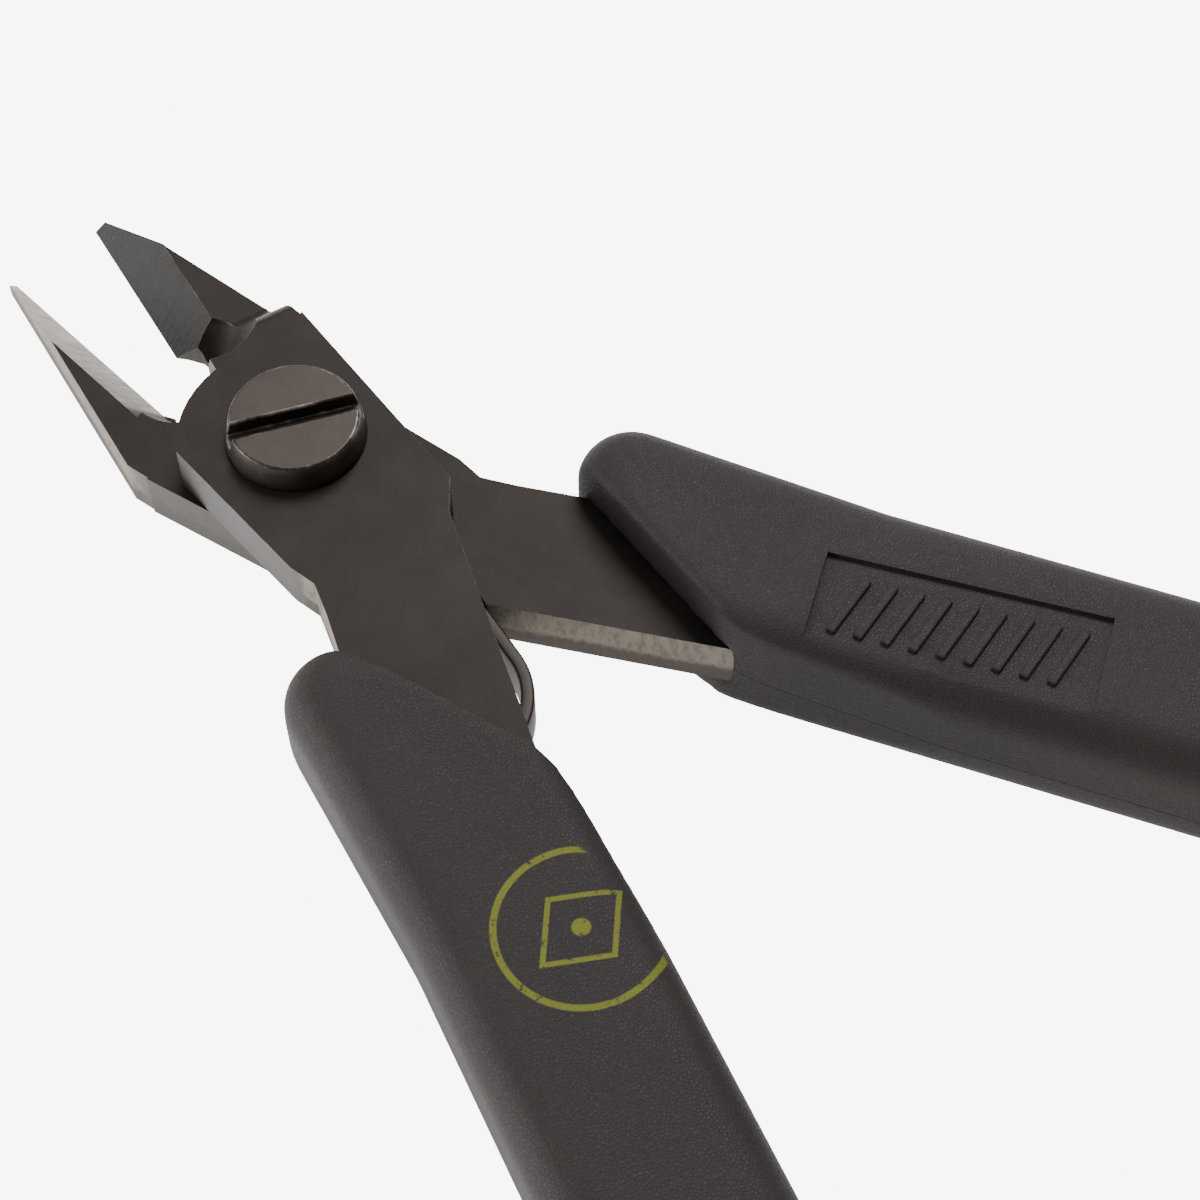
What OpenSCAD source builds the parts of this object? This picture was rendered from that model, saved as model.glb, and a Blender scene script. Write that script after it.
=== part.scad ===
// Flush cutters: two lapped steel halves on a slotted pivot screw, with moulded grips.
// The pivot axis is Z. The handles run towards +X and the jaws towards -X.
// The jaws' flush back faces lie in z = 0. The rear half, with its handle on the +Y side, lies
// on that plane and the front half lies on it. Inside the modules z = 0 is between the halves.

/* [Plates] */
// Thickness of each steel half
plate_t = 2.5; // [2:0.1:3]
// Gap between the two halves
plate_gap = 0.05; // [0.02:0.01:0.1]
// Radius of the disc round the pivot
disc_r = 5.2; // [5:0.1:5.4]

/* [Pivot] */
// Radius of the screw's shoulder
shoulder_r = 2.1; // [1.8:0.1:2.3]
// Running clearance round the shoulder
pivot_clear = 0.03; // [0.01:0.01:0.1]
// Radius of the screw head's top face
head_top_r = 2.82; // [2.7:0.02:3]
// Radius of the screw head's foot
head_foot_r = 3.1; // [3.05:0.05:3.4]
// Height of the screw head
head_h = 1.25; // [0.8:0.05:1.6]
// Width of the screwdriver slot
slot_w = 0.75; // [0.6:0.05:1]
// Depth of the screwdriver slot
slot_d = 0.7; // [0.4:0.05:0.8]
// Direction of the screwdriver slot
slot_angle = 59; // [0:1:180]

/* [Jaws] */
// Distance from the pivot to the tips, along the cutting edge
tip_u = 19.3; // [18.9:0.1:19.6]
// Distance of the closed cutting line from the pivot axis
edge_offset = 1.5; // [1.2:0.1:1.8]
// Turn of the closed cutting line away from the long axis
edge_turn = 3.2; // [2:0.2:5]
// Angle between the cutting edges at rest
open_angle = 14; // [12:0.5:15]
// Width of the bevel behind the cutting edge
bevel_w = 1.85; // [1.5:0.05:2.2]
// Width of a jaw at its nose
nose_w = 0.5; // [0.3:0.05:0.7]

/* [Handles] */
// Direction of the bare steel handle
steel_angle = 29.4; // [26:0.2:32]
// Direction of the grip where it starts
grip_angle = 22.7; // [20:0.1:25]
// Width of the tang inside the grip
tang_w = 4.4; // [3.5:0.1:5]
// Radius of the grip's inward bend
bend_r = 130; // [110:5:160]
// Direction at which the bend ends
end_angle = -5; // [-8:1:0]

/* [Grips] */
// Width of a grip
grip_w = 8.7; // [8:0.1:10]
// Shift of a grip towards the inner side of its handle
grip_shift = 0.1; // [0:0.05:0.5]
// Thickness of a grip
grip_t = 7.8; // [7:0.1:9]
// Corner radius of a grip's flat top
top_round = 1.8; // [1.2:0.1:2.6]
// Corner radius of a grip's underside
under_round = 3.6; // [2.6:0.1:3.8]
// Depth of the recessed panel
panel_d = 0.25; // [0.1:0.05:0.4]

/* [Spring] */
// Thickness of the spring strip
strip_t = 0.6; // [0.3:0.05:0.8]
// Width of the spring strip
strip_w = 2.1; // [1.5:0.1:2.2]
// Radius of the strip's bow
bow_r = 3.65; // [3.5:0.05:3.8]

/* [Hidden] */
$fn = 96;
eps = 0.01;
fit = 0.02;
edge_land = 0.03;

// Middle line of the +Y handle: where its steel meets the grip's line, and where the bend starts
turn_at = [21.96, 10.14];
bend_at = turn_at + 21.7 * [cos(grip_angle), sin(grip_angle)];
bend_centre = bend_at + bend_r * [sin(grip_angle), -cos(grip_angle)];
handle_end = bend_centre + bend_r * [-sin(end_angle), cos(end_angle)];
tang_end_angle = end_angle + 3;

// Outline of the body round the pivot, on the side of the +Y handle
disc_from = 128;
disc_join = disc_r * [cos(disc_from), sin(disc_from)];
outer_corner = [4.75, 5.0];
outer_notch = [6.1, 4.9];
outer_line = [7.6, 5.65];
crotch = [7.67, -1.51];
crotch_foot = [6.51, -2.78];
shoulder_corner = [-4.2, -4.82];

rear_tip_u = tip_u - 0.2;

// The front jaw steps down from the front half's layer to the rear half's, between these places
step_top_u = 6.2;
step_foot_u = 9;
cove_u = 8.35;
cove_v = 0.75;
cove_r = 2.95;
cove_foot_r = 0.9;
jaw_clear_r = disc_r + 0.25;

// Bow of the spring, its straight leg with the seat in the rear half, and the pin that it bears on
bow_centre = [12.5, -4.25];
bow_start = 75;
leg_l = 5.8;
seat_l = 3.4;
strip_low = -2.3;
pin_r = 0.7;
pin_at = bow_centre + [bow_r, -pin_r - 0.05];
pin_depth = 1.5;

// Recessed panel on the rear grip
panel_at = [27.4, 11.1];
panel_l = 11.8;
panel_wide = 4.3;
panel_angle = 26;

// A place given along the cutting line (u) and away from it (v), for the jaw on side s:
// s = -1 is the rear jaw, below the line, and s = 1 is the front jaw, above it
function line_angle(s) = 180 - edge_turn - (s > 0 ? open_angle : 0);
function along(s) = [cos(line_angle(s)), sin(line_angle(s))];
function away(s) = s * [sin(line_angle(s)), -cos(line_angle(s))];
function jaw_at(s, u, v) = u * along(s) + (v - s * edge_offset) * away(s);

module at(p) {
    translate([p[0], p[1], 0]) children();
}

// Lifts a finished piece so that the flush back faces come to z = 0
module lifted() {
    translate([0, 0, plate_t]) children();
}

// Straight bar of the given half width between two places of a plan
module bar(a, b, half) {
    d = (b - a) / norm(b - a);
    n = half * [-d[1], d[0]];
    polygon([a - n, b - n, b + n, a + n]);
}

// Frame of the +Y handle's bend: the bend starts at its X axis, at bend_r, and turns towards its
// Y axis, and the straight part before it runs towards -Y
module in_bend() {
    at(bend_centre) rotate([0, 0, 90 + grip_angle]) mirror([0, 1, 0]) children();
}

// The bare bar of the +Y handle and its tang, as high as h, grown by g
module tang(h, g) {
    d = [cos(steel_angle), sin(steel_angle)];
    n = [-d[1], d[0]];
    wide = tang_w + 2 * g;
    linear_extrude(height = h) polygon([
        outer_line, outer_line + 9.4 * d + g * n, crotch + 14.6 * d - g * n, crotch
    ]);
    in_bend() translate([bend_r - wide / 2, -27.7, 0]) cube([wide, 27.7, h]);
    in_bend() rotate_extrude(angle = grip_angle - tang_end_angle, $fn = 360)
        translate([bend_r - wide / 2, 0]) square([wide, h]);
}

// Everything beyond the line from p to q, on its left, for the given length from p
module beyond(p, q, length) {
    d = q - p;
    at(p) rotate([0, 0, atan2(d[1], d[0])]) translate([0, 0, -1]) cube([length, 6, 9]);
}

// The body round the pivot, on the side of the +Y handle: a disc with two straight sides
module body() {
    facet = outer_corner - disc_join;
    side = crotch_foot - shoulder_corner;
    difference() {
        union() {
            cylinder(h = plate_t, r = disc_r);
            linear_extrude(height = plate_t) polygon([
                [0, 5.15], 2 * outer_corner - outer_notch, outer_notch, outer_line,
                outer_line + [2, 1.127], [9, -0.7596], crotch, crotch_foot,
                shoulder_corner - 0.05 * side, [-4, -3], [0, 0]
            ]);
        }
        beyond(disc_join - 0.6 * facet, outer_corner, 1.69 * norm(facet));
        beyond(crotch_foot + 0.4 * side, shoulder_corner, 2 * norm(side));
    }
}

module handle() {
    body();
    tang(plate_t, 0);
}

// Plan of the rear jaw: straight cutting edge, blunt nose, outer edge, and the throat's curve
module rear_jaw_plan() {
    polygon([
        jaw_at(-1, rear_tip_u, 0), jaw_at(-1, rear_tip_u - 0.25, nose_w),
        jaw_at(-1, 5.6, 3.8), shoulder_corner + [0.1, 0.05], [-3, -2.5],
        jaw_at(-1, 3, -1), jaw_at(-1, 6.2, -0.98), jaw_at(-1, 6.8, -0.88),
        jaw_at(-1, 7.3, -0.63), jaw_at(-1, 7.75, -0.28), jaw_at(-1, 8.3, 0)
    ]);
}

// Plan of the front jaw, which is wider at its root, where it steps down
module front_jaw_plan() {
    polygon([
        jaw_at(1, tip_u, 0), jaw_at(1, tip_u - 0.25, nose_w),
        jaw_at(1, 14.5, 1.95), jaw_at(1, 8.9, 4.2), jaw_at(1, 6.2, 4.6),
        [-4.1, 4.8], [-3, 2.5],
        jaw_at(1, 3, 1.4), jaw_at(1, 8.7, 1.15), jaw_at(1, 9.4, 0.95),
        jaw_at(1, 10, 0.45), jaw_at(1, 10.4, 0)
    ]);
}

// Prism laid along the cutting line of side s from u: its outline is given across (v) and up (z)
module along_edge(s, u, length, outline) {
    at(jaw_at(s, u, 0)) rotate([0, 0, line_angle(s)]) rotate([90, 0, 90])
        linear_extrude(height = length) polygon([for (p = outline) [-s * p[0], p[1]]]);
}

// Everything in front of the sloping bevel, which rises from the narrow land of the cutting edge
module bevel_cut(s, root_u) {
    reach = 12;
    foot = edge_land - plate_t;
    rise = reach * plate_t / bevel_w + foot;
    along_edge(s, root_u, 20, [[0, foot], [-8, foot], [-8, rise], [reach, rise]]);
}

// Space above the front jaw: the land lies level with the rear half, then climbs in an S-curve
module step_cut() {
    rise = plate_gap + plate_t + eps;
    profile = [for (k = [0:12]) let (t = k / 12)
        [step_foot_u + t * (step_top_u - step_foot_u), rise * (1 - cos(180 * t)) / 2]];
    at(jaw_at(1, 0, 0)) rotate([0, 0, line_angle(1)]) rotate([90, 0, 0])
        translate([0, 0, -10]) linear_extrude(height = 20)
            polygon(concat([[24, 0]], profile, [[step_top_u, 9], [24, 9]]));
}

module rear_plate() color("#4a4340") lifted() difference() {
    translate([0, 0, -plate_t]) union() {
        handle();
        linear_extrude(height = plate_t) rear_jaw_plan();
    }
    bevel_cut(-1, 7.4);
    // Relief where the bevel ends at the throat
    at(jaw_at(-1, 7.5, -0.6)) translate([0, 0, -plate_t])
        cylinder(h = 2 * plate_t, r1 = 0.4, r2 = 3.8);
    // Tapped hole for the screw
    translate([0, 0, -plate_t - 1]) cylinder(h = plate_t + 2, r = shoulder_r - 0.3);
    // Seat for the spring's leg, open to the crotch
    spring_leg(leg_l - seat_l, leg_l + fit, strip_t / 2 + fit, -plate_t - 1, plate_t + 2);
}

module front_plate() color("#4a4340") lifted() difference() {
    union() {
        translate([0, 0, plate_gap]) union() {
            mirror([0, 1, 0]) handle();
            linear_extrude(height = plate_t) front_jaw_plan();
            linear_extrude(height = plate_t) polygon([
                jaw_at(1, 3, 0.1), jaw_at(1, 6.1, 0.1), jaw_at(1, 6.3, 1.6), jaw_at(1, 3, 2)
            ]);
        }
        // The jaw's block reaches down to the back face, outside the rear half's disc
        difference() {
            translate([0, 0, -plate_t]) linear_extrude(height = plate_t + plate_gap + eps)
                front_jaw_plan();
            translate([0, 0, -plate_t - 1]) cylinder(h = plate_t + 1 + plate_gap, r = jaw_clear_r);
        }
    }
    bevel_cut(1, cove_u - 0.05);
    step_cut();
    // Cove between the disc and the root of the cutting edge
    at(jaw_at(1, cove_u, cove_v)) translate([0, 0, -plate_t + 0.45])
        cylinder(h = 2 * plate_t, r1 = cove_foot_r, r2 = cove_r);
    // Running bore for the screw's shoulder
    translate([0, 0, -1]) cylinder(h = plate_t + 2, r = shoulder_r + pivot_clear);
    // Blind hole for the spring's pin
    at(pin_at) translate([0, 0, -1]) cylinder(h = 1 + plate_gap + pin_depth, r = pin_r);
}

module pivot_screw() color("#8d827b") lifted() difference() {
    head_z = plate_gap + plate_t + plate_gap;
    union() {
        translate([0, 0, head_z]) cylinder(h = head_h, r1 = head_foot_r, r2 = head_top_r);
        cylinder(h = head_z, r = shoulder_r);
        translate([0, 0, -plate_t]) cylinder(h = plate_t, r = shoulder_r - 0.3);
    }
    rotate([0, 0, slot_angle]) translate([-5, -slot_w / 2, head_z + head_h - slot_d])
        cube([10, slot_w, 2]);
}

// Straight leg of the spring, from start to end along it, between half widths
module spring_leg(start, end, half, low, h) {
    foot = bow_centre + bow_r * [cos(bow_start), sin(bow_start)];
    d = [-sin(bow_start), cos(bow_start)];
    translate([0, 0, low]) linear_extrude(height = h) bar(foot + start * d, foot + end * d, half);
}

module return_spring() color("#6f6660") lifted() {
    spring_leg(-eps, leg_l, strip_t / 2, strip_low, strip_w);
    at(bow_centre) translate([0, 0, strip_low]) rotate_extrude(angle = bow_start)
        translate([bow_r - strip_t / 2, 0]) square([strip_t, strip_w]);
}

module spring_pin() color("#8d827b") lifted() at(pin_at) translate([0, 0, -2.2])
    cylinder(h = 2.2 + plate_gap + pin_depth, r = pin_r);

// Corner of a section, in six flats, from the given direction
function corner(x, z, r, from) =
    [for (k = [0:6]) [x + r * cos(from + 15 * k), z + r * sin(from + 15 * k)]];

// Section of a grip: across the handle, and through its thickness. The underside is rounder
module grip_section() {
    top_x = grip_w / 2 - top_round;
    top_z = grip_t / 2 - top_round;
    low_x = grip_w / 2 - under_round;
    low_z = under_round - grip_t / 2;
    polygon(concat(
        corner(top_x, top_z, top_round, 0), corner(-top_x, top_z, top_round, 90),
        corner(-low_x, low_z, under_round, 180), corner(low_x, low_z, under_round, 270)
    ));
}

// Rounded end of radius r, as thick as the grip
module grip_end(r) {
    rotate_extrude() intersection() {
        translate([r - grip_w / 2, 0]) grip_section();
        translate([0, -grip_t]) square([r, 2 * grip_t]);
    }
}

// A grip for the +Y handle, with its middle plane at z = 0
module grip_body() {
    start = 10.3;
    lobe = [11.65, 8.6];
    lobe_r = 2.4;
    difference() {
        union() {
            in_bend() translate([bend_r - grip_shift, 0, 0]) rotate([90, 0, 0])
                linear_extrude(height = start + 21.7) grip_section();
            in_bend() rotate_extrude(angle = grip_angle - end_angle, $fn = 360)
                translate([bend_r - grip_shift, 0]) grip_section();
            at(handle_end - [0.4, grip_shift]) grip_end(grip_w / 2 - 0.1);
            at(lobe) grip_end(lobe_r);
            at(lobe) rotate([0, 0, 19]) rotate([90, 0, 90]) linear_extrude(height = 12)
                intersection() {
                    translate([lobe_r - grip_w / 2, 0]) grip_section();
                    translate([-2, -grip_t]) square([lobe_r + 2, 2 * grip_t]);
                }
        }
        // The front is cut back aslant, from the outer edge to the inner edge
        translate([0, 0, -grip_t]) linear_extrude(height = 2 * grip_t)
            polygon([
                [2, 8.7], [19.5, 5.37], [20.3, 5.4], [21.6, 5.7], [23.5, 6.35],
                [26, 7.25], [28.5, 8.1], [31, 8.97], [31, -6], [2, -6]
            ]);
    }
}

module rear_grip() color("#443d3b") lifted() difference() {
    translate([0, 0, -plate_t / 2]) grip_body();
    translate([0, 0, -plate_t - fit]) tang(plate_t + 2 * fit, fit);
    at(panel_at) rotate([0, 0, panel_angle])
        translate([-panel_l / 2, -panel_wide / 2, (grip_t - plate_t) / 2 - panel_d])
            cube([panel_l, panel_wide, 1]);
}

module front_grip() color("#443d3b") lifted() mirror([0, 1, 0]) difference() {
    translate([0, 0, plate_gap + plate_t / 2]) grip_body();
    translate([0, 0, plate_gap - fit]) tang(plate_t + 2 * fit, fit);
    at(panel_at) rotate([0, 0, panel_angle])
        translate([-panel_l / 2, -panel_wide / 2, plate_gap - (grip_t - plate_t) / 2 - 1 + panel_d])
            cube([panel_l, panel_wide, 1]);
}

rear_plate();
front_plate();
pivot_screw();
return_spring();
spring_pin();
rear_grip();
front_grip();
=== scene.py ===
import math

import bmesh
import bpy
from mathutils import Matrix, Vector


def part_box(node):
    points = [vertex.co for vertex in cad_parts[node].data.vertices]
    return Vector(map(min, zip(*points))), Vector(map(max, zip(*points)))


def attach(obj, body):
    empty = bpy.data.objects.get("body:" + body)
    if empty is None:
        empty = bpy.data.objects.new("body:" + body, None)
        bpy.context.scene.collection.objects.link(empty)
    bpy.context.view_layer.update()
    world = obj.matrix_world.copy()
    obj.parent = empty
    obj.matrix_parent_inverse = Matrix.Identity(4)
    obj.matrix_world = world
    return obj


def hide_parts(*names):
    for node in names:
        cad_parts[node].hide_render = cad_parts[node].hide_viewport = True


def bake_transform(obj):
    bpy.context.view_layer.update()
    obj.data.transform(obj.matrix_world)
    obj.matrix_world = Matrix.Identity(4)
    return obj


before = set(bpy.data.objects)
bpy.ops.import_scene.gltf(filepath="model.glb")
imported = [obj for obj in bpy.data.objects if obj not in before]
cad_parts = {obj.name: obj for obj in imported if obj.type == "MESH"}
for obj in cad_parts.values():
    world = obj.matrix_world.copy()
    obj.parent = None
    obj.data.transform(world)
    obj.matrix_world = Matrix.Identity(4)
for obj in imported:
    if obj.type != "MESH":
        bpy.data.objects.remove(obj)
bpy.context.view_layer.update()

MM = 0.001
PLATE_T = 2.5
LAP_Z = PLATE_T  # height of the face between the two halves

# Places in plan, in mm, repeated from the part's source
GRIND_ANGLE = {"rear": 176.8, "front": 162.8}  # heading of each jaw's grinding lines, in degrees
FACET = ((-3.2014, 4.0977), (4.75, 5.0))
SHOULDER = ((-4.2, -4.82), (6.51, -2.78))
BOW_CENTRE = (12.5, -4.25)
BOW_R = 3.65
BOW_START = 75
LEG_L = 5.8
STRIP_T = 0.6
STRIP_LOW, STRIP_HIGH = 0.2, 2.3
PANEL_AT = (27.4, 11.1)
PANEL_L, PANEL_WIDE, PANEL_ANGLE = 11.8, 4.3, 26
PANEL_DEEP = 0.25
REAR_GRIP_MID, FRONT_GRIP_MID = 1.25, 3.8
GRIP_HALF_T = 3.9
MARK_AT = (26.0, -10.1)
MARK_R = 3.3
MARK_LINE_OUT, MARK_LINE_IN = 0.17, 0.1  # half widths of an inked line, faint and full

# Sizes that only the finish needs, in mm
BROKEN_EDGE = 0.06
SCREW_EDGE = 0.12
PIN_EDGE = 0.1
SKIN_CELL = 0.26
RIB_COUNT, RIB_GAP = 9, 1.15
RIB_SIZE = (0.42, 3.0, 0.3)
RIB_SLANT = -18


# ---------------------------------------------------------------- shader writing

class Val:
    """A number in a shader tree. Sums and products of these add the nodes that they need."""

    def __init__(self, tree, socket):
        self.tree, self.socket = tree, socket

    def math(self, operation, *others):
        return self.tree.math(operation, self, *others)

    def __add__(self, other):
        return self.math("ADD", other)

    __radd__ = __add__

    def __mul__(self, other):
        return self.math("MULTIPLY", other)

    __rmul__ = __mul__

    def __sub__(self, other):
        return self.math("SUBTRACT", other)

    def __rsub__(self, other):
        return self.tree.math("SUBTRACT", other, self)

    def __truediv__(self, other):
        return self.math("DIVIDE", other)

    def __abs__(self):
        return self.math("ABSOLUTE")

    def step(self, low, high):
        """0 under low and 1 over high, smooth between. A larger low turns it round."""
        return self.tree.node(
            "ShaderNodeMapRange", {"interpolation_type": "SMOOTHSTEP"},
            {"Value": self, "From Min": low, "From Max": high})


class Finish:
    """A material under construction."""

    def __init__(self, name, **sockets):
        self.material = bpy.data.materials.new(name)
        self.material.use_nodes = True
        self.nodes = self.material.node_tree.nodes
        self.links = self.material.node_tree.links
        self.shader = self.nodes["Principled BSDF"]
        for socket, value in sockets.items():
            self.shader.inputs[socket.replace("_", " ")].default_value = value
        coords = self.nodes.new("ShaderNodeTexCoord")
        self.place = coords.outputs["Object"]
        self.normal = coords.outputs["Normal"]

    def node(self, kind, settings, sockets, output=0):
        made = self.nodes.new(kind)
        for key, value in settings.items():
            setattr(made, key, value)
        for key, value in sockets.items():
            if isinstance(value, Val):
                self.links.new(value.socket, made.inputs[key])
            elif isinstance(value, bpy.types.NodeSocket):
                self.links.new(value, made.inputs[key])
            else:
                made.inputs[key].default_value = value
        return Val(self, made.outputs[output])

    def math(self, operation, *values):
        return self.node("ShaderNodeMath", {"operation": operation}, dict(enumerate(values)))

    def axes(self, vector):
        return [self.node("ShaderNodeSeparateXYZ", {}, {0: vector}, i) for i in range(3)]

    def turned(self, angle, scale):
        """The piece's place in mm, turned by -angle in plan, then scaled along each axis."""
        turned = self.node("ShaderNodeMapping", {"vector_type": "POINT"}, {
            "Vector": self.place, "Rotation": (0, 0, -math.radians(angle)),
            "Scale": (1 / MM, 1 / MM, 1 / MM)})
        return self.node("ShaderNodeVectorMath", {"operation": "MULTIPLY"},
                         {0: turned, 1: scale}).socket

    def noise(self, vector, scale, detail=4.0, roughness=0.55):
        return self.node("ShaderNodeTexNoise", {}, {
            "Vector": vector, "Scale": scale, "Detail": detail, "Roughness": roughness})

    def colour(self, factor, first, second):
        sockets = {0: factor, 6: first, 7: second}
        return self.node("ShaderNodeMix", {"data_type": "RGBA"}, sockets, 2)

    def feed(self, socket, value):
        self.links.new(value.socket, self.shader.inputs[socket])

    def bump(self, height, depth):
        return self.node("ShaderNodeBump", {},
                         {"Height": height, "Distance": depth, "Strength": 1.0})


def rgb(red, green, blue):
    """A linear colour from an 8-bit display colour."""
    return tuple(((c / 255 + 0.055) / 1.055) ** 2.4 for c in (red, green, blue)) + (1.0,)


def along_line(x, y, line):
    """1 on the wall that stands on a line of the plan, in mm."""
    (ax, ay), (bx, by) = line
    long = math.hypot(bx - ax, by - ay)
    nx, ny = (ay - by) / long, (bx - ax) / long
    away = abs(x * nx + y * ny - (ax * nx + ay * ny))
    return away.step(0.16, 0.08)


# ---------------------------------------------------------------- materials

def oxide_steel(half):
    """Black oxide steel of one half, with ground facets, a jaw bevel and blanked walls; the walls
    at the crotch get painted shade, and the front half's ground facets and jaw bevel are painted
    darker as shade.
    """
    angle = GRIND_ANGLE[half]
    f = Finish("oxide_steel_and_shade_" + half, Metallic=0.7, Specular_IOR_Level=0.3)
    x, y, z = f.axes(f.turned(0, (1, 1, 1)))
    nz = f.axes(f.normal)[2]
    wall = abs(nz).step(0.35, 0.15)
    slope = abs(nz - 0.6).step(0.12, 0.06) * x.step(-8.0, -8.6)

    mirror = 1 if half == "rear" else -1
    facets = along_line(x, y * mirror, FACET) + along_line(x, y * mirror, SHOULDER)
    ground = wall * facets.math("MINIMUM", 1.0) * x.step(9.0, 8.0)

    cloud = f.noise(f.place, 420.0, 5.0)
    grain = f.noise(f.place, 9000.0, 3.0, 0.65)
    brushed = f.noise(f.turned(59, (0.5, 9.0, 0.5)), 1.6, 4.0, 0.6)
    cracked = f.noise(f.turned(0, (1.0, 1.0, 0.35)), 3.2, 6.0, 0.7)

    face = f.colour(cloud.step(0.3, 0.75), rgb(25, 21, 18), rgb(31, 26, 23))
    low_zone = (z - (LAP_Z if half == "front" else 0.0) + cracked * 1.2).step(1.7, 1.3)
    blanked = f.colour(low_zone, rgb(112, 105, 96), rgb(66, 61, 56))
    blanked = f.colour(cracked.step(0.45, 0.62) * 0.5, blanked, rgb(66, 61, 57))
    # Painted shade: walls near the crotch between the jaws are darkened almost to black.
    crotch_painted_shade = x.step(6.2, 6.8) * x.step(9.2, 8.4) * abs(y).step(3.4, 2.8)
    blanked = f.colour(crotch_painted_shade, blanked, rgb(20, 18, 16))
    colour = f.colour(wall, face, blanked)
    polished = f.noise(f.turned(0, (0.4, 0.4, 10.0)), 1.0, 4.0, 0.7)
    # Painted shade: the front half's ground facets are darker than the rear's, the same ground
    # steel shaded.
    bright = rgb(30, 27, 24) if half == "front" else rgb(46, 42, 38)
    colour = f.colour(ground * (0.72 + polished * 0.35), colour, bright)

    lines = f.noise(f.turned(angle, (11.0, 0.35, 0.6)), 1.0, 4.0, 0.75)
    # Painted shade: the front jaw's bevel is painted near black; the rear's keeps its ground
    # steel colour.
    bevel_low_front_shaded = rgb(6, 5, 4) if half == "front" else rgb(84, 77, 70)
    bevel_high_front_shaded = rgb(17, 14, 12) if half == "front" else rgb(150, 140, 129)
    bevel = f.colour(lines.step(0.38, 0.68), bevel_low_front_shaded, bevel_high_front_shaded)
    colour = f.colour(slope, colour, bevel)
    f.feed("Base Color", colour)

    rough = 0.5 + grain * 0.1 - ground * 0.16 - slope * 0.1 + wall * (1 - ground) * 0.08
    f.feed("Roughness", rough)
    height = grain * 0.35 + brushed * 0.3 * (1 - wall) + lines * slope * 2.2
    height = height + cracked * wall * (1 - ground) * 3.0
    f.feed("Normal", f.bump(height, 0.000012))
    return f.material


def worn_edge_and_highlight():
    """Edges where the oxide is rubbed thin, lightened as real wear and as a painted highlight
    along the broken edges.
    """
    f = Finish("worn_edge_and_highlight", Metallic=0.8)
    patch = f.noise(f.place, 900.0, 5.0, 0.65)
    # Partly painted highlight: the lighter patches stand for the bright lines light draws along
    # the edges, as well as rubbed oxide.
    f.feed("Base Color", f.colour(patch.step(0.45, 0.75), rgb(34, 30, 27), rgb(104, 97, 90)))
    f.feed("Roughness", 0.3 + patch * 0.18)
    f.feed("Normal", f.bump(patch, 0.00001))
    return f.material


def screw_steel():
    """Turned steel of the screw, with the fine rings that facing leaves, and painted shade in the
    slot.
    """
    f = Finish("screw_steel", Metallic=0.8)
    x, y, z = f.axes(f.turned(0, (1, 1, 1)))
    radius = (x * x + y * y).math("SQRT")
    rings = (radius * 58.0).math("SINE")
    cloud = f.noise(f.place, 700.0, 5.0, 0.6)
    grain = f.noise(f.place, 9000.0, 2.0)
    # Painted shade: the slot's floor inside the head is painted near black.
    slot_painted_shade = z.step(5.75, 5.45) * radius.step(2.95, 2.75)
    colour = f.colour(cloud.step(0.3, 0.7), rgb(38, 33, 30), rgb(45, 40, 36))
    f.feed("Base Color", f.colour(slot_painted_shade * 0.85, colour, rgb(12, 11, 10)))
    f.feed("Roughness", 0.42 + cloud * 0.14)
    f.feed("Normal", f.bump(rings * 0.1 + grain * 0.25, 0.000006))
    return f.material


def spring_steel():
    """Tempered strip with fine lines along its length."""
    f = Finish("spring_steel", Metallic=0.85)
    streak = f.noise(f.turned(0, (0.6, 0.6, 14.0)), 1.2, 3.0)
    f.feed("Base Color", f.colour(streak, rgb(30, 27, 25), rgb(48, 43, 40)))
    f.feed("Roughness", 0.44 + streak * 0.15)
    f.feed("Normal", f.bump(streak, 0.000008))
    return f.material


def grip_rubber(half, mark):
    """Matt moulded grip with a leather grain, its parting line and faint flow streaks."""
    f = Finish("grip_rubber_" + half, Metallic=0.0)
    f.shader.inputs["Specular IOR Level"].default_value = 0.22
    middle = REAR_GRIP_MID if half == "rear" else FRONT_GRIP_MID
    x, y, z = f.axes(f.turned(0, (1, 1, 1)))
    angle = 22.7 if half == "rear" else -22.7

    grain = f.noise(f.place, 5200.0, 3.0, 0.6)
    cells = f.node("ShaderNodeTexVoronoi", {"feature": "DISTANCE_TO_EDGE"},
                   {"Vector": f.place, "Scale": 7000.0})
    creases = cells.step(0.0, 0.22)
    cloud = f.noise(f.place, 160.0, 4.0)
    streaks = f.noise(f.turned(angle, (0.12, 2.4, 7.0)), 1.4, 3.0)

    colour = f.colour(cloud.step(0.3, 0.7), rgb(20, 15, 13), rgb(25, 19, 17))
    colour = f.colour((1 - creases) * 0.3, colour, rgb(22, 19, 18))
    parting = abs(z - middle).step(0.07, 0.03)
    colour = f.colour(parting * 0.55, colour, rgb(12, 10, 10))
    if mark:
        colour = printed_mark(f, x, y, z, colour)
    f.feed("Base Color", colour)
    f.feed("Roughness", 0.54 + grain * 0.12 + (1 - creases) * 0.08)
    side = abs(z - middle).step(3.3, 2.4)
    height = grain * 0.7 + creases * 0.8 + streaks * side * 1.2 - parting * 5.0
    f.feed("Normal", f.bump(height, 0.000014))
    return f.material


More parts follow.
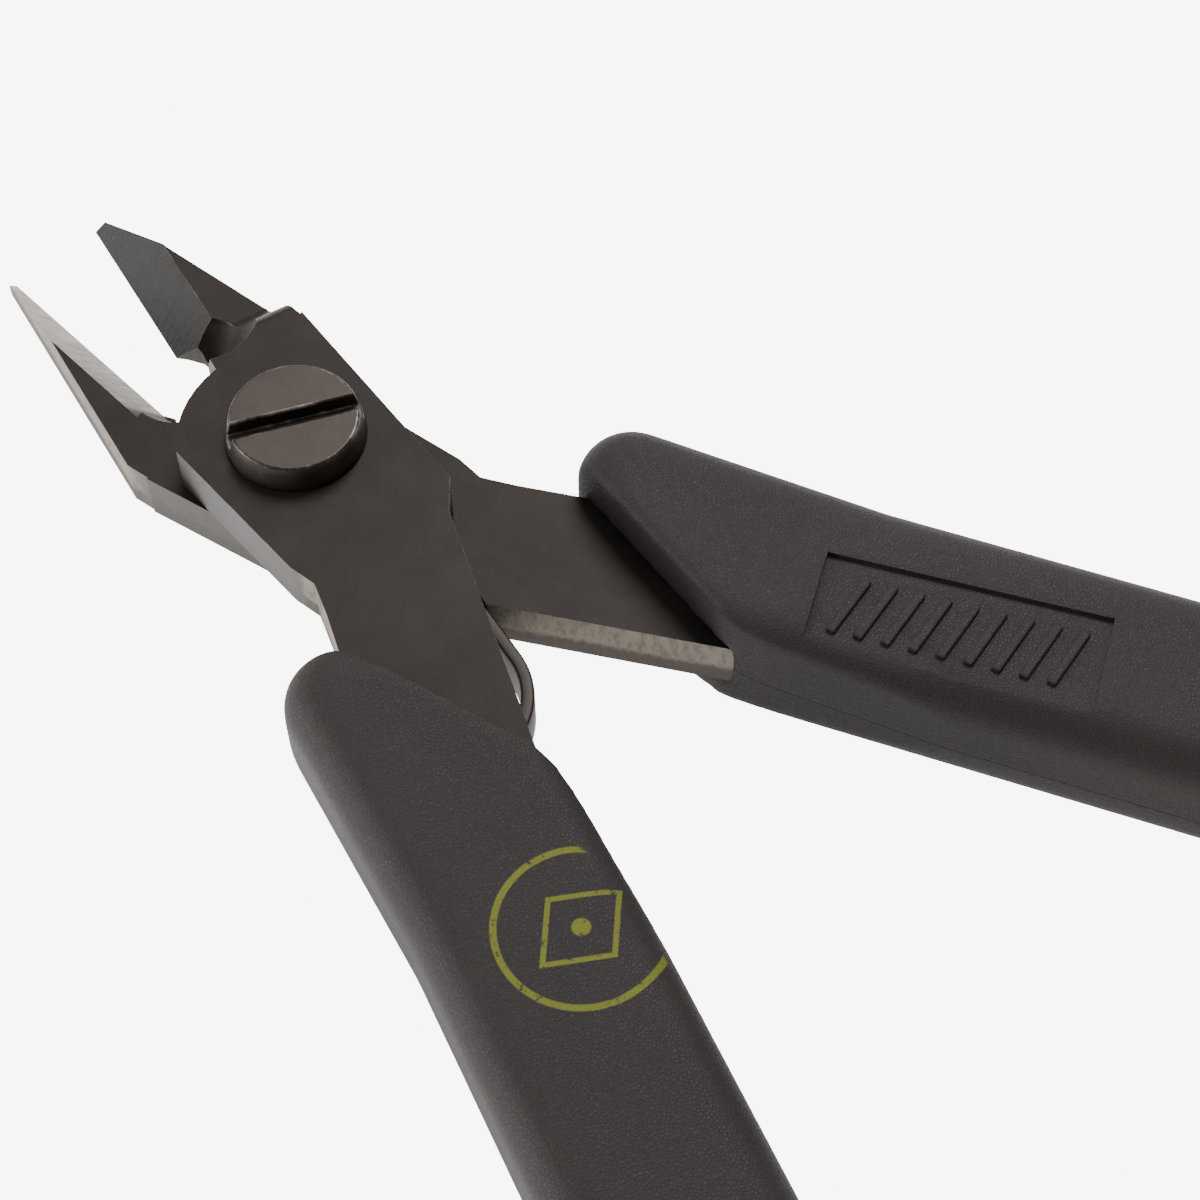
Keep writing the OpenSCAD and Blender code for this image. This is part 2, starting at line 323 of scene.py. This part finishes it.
def printed_mark(f, x, y, z, colour):
    """A plain ring, open on its inner side, round a lozenge with a dot."""
    u, v = x - MARK_AT[0], y - MARK_AT[1]
    radius = (u * u + v * v).math("SQRT")
    ring = abs(radius - MARK_R).step(MARK_LINE_OUT, MARK_LINE_IN) * v.step(2.6, 2.3)
    lozenge = abs(abs(u) + abs(v) * 0.8 - 1.7).step(MARK_LINE_OUT, MARK_LINE_IN)
    dot = radius.step(0.42, 0.32)
    ink = (ring + lozenge + dot).math("MINIMUM", 1.0) * z.step(6.9, 7.2)
    worn = f.noise(f.place, 2400.0, 4.0, 0.7).step(0.3, 0.45)
    return f.colour(ink * worn * 0.9, colour, rgb(84, 88, 12))


def floor_paper():
    """White paper, seen bright through Light Path while it lights the tool dimly."""
    f = Finish("floor_paper", Roughness=0.8, Emission_Color=(1.0, 0.985, 0.965, 1),
               Emission_Strength=1.1)
    soft = f.noise(f.place, 12.0, 2.0)
    f.feed("Base Color", f.colour(soft, (0.93, 0.925, 0.915, 1), (0.95, 0.945, 0.935, 1)))
    glow = f.node("ShaderNodeEmission", {}, {"Color": (1.0, 0.99, 0.975, 1), "Strength": 9.0})
    direct = f.node("ShaderNodeLightPath", {}, {})
    paper = f.node("ShaderNodeMixShader", {},
                   {0: direct * 0.85, 1: f.shader.outputs[0], 2: glow.socket})
    f.links.new(paper.socket, f.nodes["Material Output"].inputs["Surface"])
    return f.material


# ---------------------------------------------------------------- shapes

def new_piece(name, mesh, *materials):
    piece = bpy.data.objects.new(name, mesh)
    bpy.context.scene.collection.objects.link(piece)
    for material in materials:
        mesh.materials.append(material)
    return piece


def joined_copy(node):
    """A copy of a CAD node's mesh with its loose triangles joined into a closed skin."""
    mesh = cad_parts[node].data.copy()
    mesh.materials.clear()
    shape = bmesh.new()
    shape.from_mesh(mesh)
    bmesh.ops.remove_doubles(shape, verts=shape.verts, dist=2e-7)
    shape.to_mesh(mesh)
    shape.free()
    for name in ("sharp_edge", "sharp_face"):
        layer = mesh.attributes.get(name)
        if layer:
            mesh.attributes.remove(layer)
    return mesh


def steel_piece(name, node, body, edge, *materials):
    """The CAD shape with its edges broken by a small radius, which shows the worn steel with a
    painted highlight.
    """
    mesh = joined_copy(node)
    shape = bmesh.new()
    shape.from_mesh(mesh)
    bmesh.ops.dissolve_limit(shape, angle_limit=math.radians(0.6),
                             verts=shape.verts, edges=shape.edges)
    for face in shape.faces:
        face.smooth = True
        face.material_index = 0
    shape.to_mesh(mesh)
    shape.free()
    piece = new_piece(name, mesh, *materials)
    bevel = piece.modifiers.new("broken_edges", "BEVEL")
    bevel.width = edge * MM
    bevel.segments = 2
    bevel.limit_method = "ANGLE"
    bevel.angle_limit = math.radians(28)
    bevel.material = len(materials) - 1
    flats = piece.modifiers.new("flat_faces", "WEIGHTED_NORMAL")
    flats.mode = "FACE_AREA_WITH_ANGLE"
    flats.weight = 100
    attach(piece, body)
    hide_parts(node)
    return piece


def applied(piece):
    """The piece with its modifiers made part of its mesh."""
    shown = piece.evaluated_get(bpy.context.evaluated_depsgraph_get())
    mesh = bpy.data.meshes.new_from_object(shown)
    piece.modifiers.clear()
    piece.data = mesh
    return piece


def moulded_grip(name, node, body, material, panel_z=None):
    """The CAD grip remeshed and softened as a moulding, with the panel cut crisply afterwards."""
    piece = new_piece(name, joined_copy(node))
    remesh = piece.modifiers.new("even_skin", "REMESH")
    remesh.mode = "VOXEL"
    remesh.voxel_size = SKIN_CELL * MM
    soften = piece.modifiers.new("soft_corners", "SMOOTH")
    soften.factor = 0.5
    soften.iterations = 7
    applied(piece)
    if panel_z is not None:
        cut_panel(piece, panel_z)
    for face in piece.data.polygons:
        face.use_smooth = True
    piece.data.set_sharp_from_angle(angle=math.radians(50))
    piece.data.materials.clear()
    piece.data.materials.append(material)
    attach(piece, body)
    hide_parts(node)
    return piece


def cut_panel(piece, floor_z):
    """Cuts the panel's recess with crisp walls, down to floor_z in mm."""
    shape = bmesh.new()
    bmesh.ops.create_cube(shape, size=1.0)
    wide = Matrix.Diagonal(((PANEL_L + 0.3) * MM, (PANEL_WIDE + 0.3) * MM, 2 * MM, 1))
    bmesh.ops.transform(shape, matrix=panel_frame(floor_z + 1.0) @ wide, verts=shape.verts)
    mesh = bpy.data.meshes.new("panel_cutter")
    shape.to_mesh(mesh)
    shape.free()
    cutter = new_piece("panel_cutter", mesh)
    recess = piece.modifiers.new("recess", "BOOLEAN")
    recess.object, recess.operation, recess.solver = cutter, "DIFFERENCE", "EXACT"
    applied(piece)
    bpy.data.objects.remove(cutter)


def panel_frame(z):
    """Takes a thing from the origin to the panel's middle, along it, at height z in mm."""
    return (Matrix.Translation((PANEL_AT[0] * MM, PANEL_AT[1] * MM, z * MM))
            @ Matrix.Rotation(math.radians(PANEL_ANGLE), 4, "Z"))


def spring_mesh():
    """Strip with rounded edges, swept from its seat over the bow to the pin."""
    start = math.radians(BOW_START)
    foot = Vector((BOW_CENTRE[0] + BOW_R * math.cos(start),
                   BOW_CENTRE[1] + BOW_R * math.sin(start)))
    run = Vector((-math.sin(start), math.cos(start)))
    path = [(foot + run * LEG_L * (1 - k / 16), run) for k in range(16)]
    for k in range(41):
        a = start * (1 - k / 40)
        out = Vector((math.cos(a), math.sin(a)))
        path.append((Vector(BOW_CENTRE) + out * BOW_R, Vector((-out.y, out.x))))
    corner = 0.14
    ring = []
    for cx, cz, first in ((1, 1, 0), (-1, 1, 90), (-1, -1, 180), (1, -1, 270)):
        for k in range(5):
            a = math.radians(first + 22.5 * k)
            ring.append((cx * (STRIP_T / 2 - corner) + corner * math.cos(a),
                         cz * ((STRIP_HIGH - STRIP_LOW) / 2 - corner) + corner * math.sin(a)))
    middle = (STRIP_LOW + STRIP_HIGH) / 2
    shape = bmesh.new()
    rows = []
    for centre, tangent in path:
        side = Vector((tangent.y, -tangent.x))
        rows.append([shape.verts.new(((centre.x + side.x * u) * MM, (centre.y + side.y * u) * MM,
                                      (middle + w) * MM)) for u, w in ring])
    for one, two in zip(rows, rows[1:]):
        for i in range(len(ring)):
            j = (i + 1) % len(ring)
            shape.faces.new((one[i], one[j], two[j], two[i]))
    shape.faces.new(rows[0])
    shape.faces.new(list(reversed(rows[-1])))
    bmesh.ops.recalc_face_normals(shape, faces=shape.faces)
    for face in shape.faces:
        face.smooth = len(face.verts) == 4
    mesh = bpy.data.meshes.new("return_spring_strip")
    shape.to_mesh(mesh)
    shape.free()
    return mesh


def rib_tree(material):
    """Slanted raised bars in a row: count, spacing and size are the tree's inputs."""
    tree = bpy.data.node_groups.new("panel_ribs", "GeometryNodeTree")
    face = tree.interface
    face.new_socket("Geometry", in_out="INPUT", socket_type="NodeSocketGeometry")
    face.new_socket("Count", in_out="INPUT", socket_type="NodeSocketInt")
    face.new_socket("Spacing", in_out="INPUT", socket_type="NodeSocketVector")
    face.new_socket("Size", in_out="INPUT", socket_type="NodeSocketVector")
    face.new_socket("Slant", in_out="INPUT", socket_type="NodeSocketVector")
    face.new_socket("Geometry", in_out="OUTPUT", socket_type="NodeSocketGeometry")
    add = tree.nodes.new
    given, result = add("NodeGroupInput"), add("NodeGroupOutput")
    line, bar = add("GeometryNodeMeshLine"), add("GeometryNodeMeshCube")
    place, real = add("GeometryNodeInstanceOnPoints"), add("GeometryNodeRealizeInstances")
    coat = add("GeometryNodeSetMaterial")
    coat.inputs["Material"].default_value = material
    for source, target in (
        (given.outputs["Count"], line.inputs["Count"]),
        (given.outputs["Spacing"], line.inputs["Offset"]),
        (given.outputs["Size"], bar.inputs["Size"]),
        (line.outputs["Mesh"], place.inputs["Points"]),
        (bar.outputs["Mesh"], place.inputs["Instance"]),
        (given.outputs["Slant"], place.inputs["Rotation"]),
        (place.outputs["Instances"], real.inputs["Geometry"]),
        (real.outputs["Geometry"], coat.inputs["Geometry"]),
        (coat.outputs["Geometry"], result.inputs["Geometry"]),
    ):
        tree.links.new(source, target)
    return tree


def panel_ribs(name, body, material):
    """Plain slanted ribs standing on the floor of the grip's panel."""
    piece = new_piece(name, bpy.data.meshes.new(name))
    ribs = piece.modifiers.new("ribs", "NODES")
    ribs.node_group = rib_tree(material)
    values = {"Count": RIB_COUNT, "Spacing": (RIB_GAP * MM, 0, 0),
              "Size": tuple(side * MM for side in RIB_SIZE),
              "Slant": (0, 0, math.radians(RIB_SLANT))}
    for item in ribs.node_group.interface.items_tree:
        if item.in_out == "INPUT" and item.name in values:
            ribs[item.identifier] = values[item.name]
    applied(piece)
    floor_z = REAR_GRIP_MID + GRIP_HALF_T - PANEL_DEEP
    piece.data.transform(panel_frame(floor_z + 0.05)
                         @ Matrix.Translation((-RIB_GAP * MM * (RIB_COUNT - 1) / 2, 0, 0)))
    soft = piece.modifiers.new("rounded", "BEVEL")
    soft.width, soft.segments = 0.08 * MM, 2
    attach(piece, body)
    return piece


# ---------------------------------------------------------------- the object

edge_wear_and_highlight = worn_edge_and_highlight()
turned_steel = screw_steel()
rear_rubber = grip_rubber("rear", False)
front_rubber = grip_rubber("front", True)

rear_steel = steel_piece("rear_steel", "rear_plate", "rear", BROKEN_EDGE,
                         oxide_steel("rear"), edge_wear_and_highlight)
front_steel = steel_piece("front_steel", "front_plate", "front", BROKEN_EDGE,
                          oxide_steel("front"), edge_wear_and_highlight)
screw = steel_piece("slotted_screw", "pivot_screw", "rear", SCREW_EDGE, turned_steel, edge_wear_and_highlight)
pin = steel_piece("spring_stop", "spring_pin", "front", PIN_EDGE, turned_steel)

spring = new_piece("spring_strip", spring_mesh(), spring_steel())
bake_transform(spring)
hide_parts("return_spring")

rear_cover = moulded_grip("rear_moulding", "rear_grip", "rear", rear_rubber,
                          REAR_GRIP_MID + GRIP_HALF_T - PANEL_DEEP)
front_cover = moulded_grip("front_moulding", "front_grip", "front", front_rubber)
ribs = panel_ribs("panel_ribs", "rear", rear_rubber)


# ---------------------------------------------------------------- floor, lights and camera

floor_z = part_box("rear_grip")[0].z
bpy.ops.mesh.primitive_plane_add(size=6, location=(0, 0, floor_z))
floor = bpy.context.object
floor.name = "floor"
floor.data.materials.append(floor_paper())

world = bpy.data.worlds.new("studio")
bpy.context.scene.world = world
world.use_nodes = True
world.node_tree.nodes["Background"].inputs["Color"].default_value = (1.0, 0.99, 0.975, 1)
world.node_tree.nodes["Background"].inputs["Strength"].default_value = 0.8


def soft_light(name, place, aim, size, power):
    lamp = bpy.data.lights.new(name, "AREA")
    lamp.shape, lamp.size, lamp.energy = "DISK", size, power
    holder = bpy.data.objects.new(name, lamp)
    bpy.context.scene.collection.objects.link(holder)
    holder.location = place
    holder.rotation_euler = (Vector(aim) - Vector(place)).to_track_quat("-Z", "Y").to_euler()


soft_light("key_light", (-0.15, 0.35, 0.55), (0.02, 0, 0), 0.35, 7.0)
soft_light("fill_light", (-0.32, -0.42, 0.16), (0.02, 0, 0), 0.3, 5.0)

HEADING, TILT, ROLL = 2.329577, 0.9881097, -0.0227876
EYE_RIGHT, EYE_DOWN, EYE_BACK = 13.03, 5.722, 122.757  # of the pivot, in mm
look = Vector((math.cos(HEADING) * math.cos(TILT), math.sin(HEADING) * math.cos(TILT),
               -math.sin(TILT)))
right = look.cross(Vector((0, 0, 1))).normalized()
up = right.cross(look)
right_rolled = right * math.cos(ROLL) + up * math.sin(ROLL)
up_rolled = up * math.cos(ROLL) - right * math.sin(ROLL)
pivot = Vector((0, 0, LAP_Z)) * MM
eye = pivot + (right_rolled * EYE_RIGHT - up_rolled * EYE_DOWN - look * EYE_BACK) * MM

camera_data = bpy.data.cameras.new("camera")
camera_data.lens = 84.084
camera_data.sensor_width = 36
camera_data.clip_start = 0.005
camera = bpy.data.objects.new("camera", camera_data)
bpy.context.scene.collection.objects.link(camera)
turn = Matrix((right_rolled, up_rolled, -look)).transposed().to_4x4()
camera.matrix_world = Matrix.Translation(eye) @ turn
bpy.context.scene.camera = camera
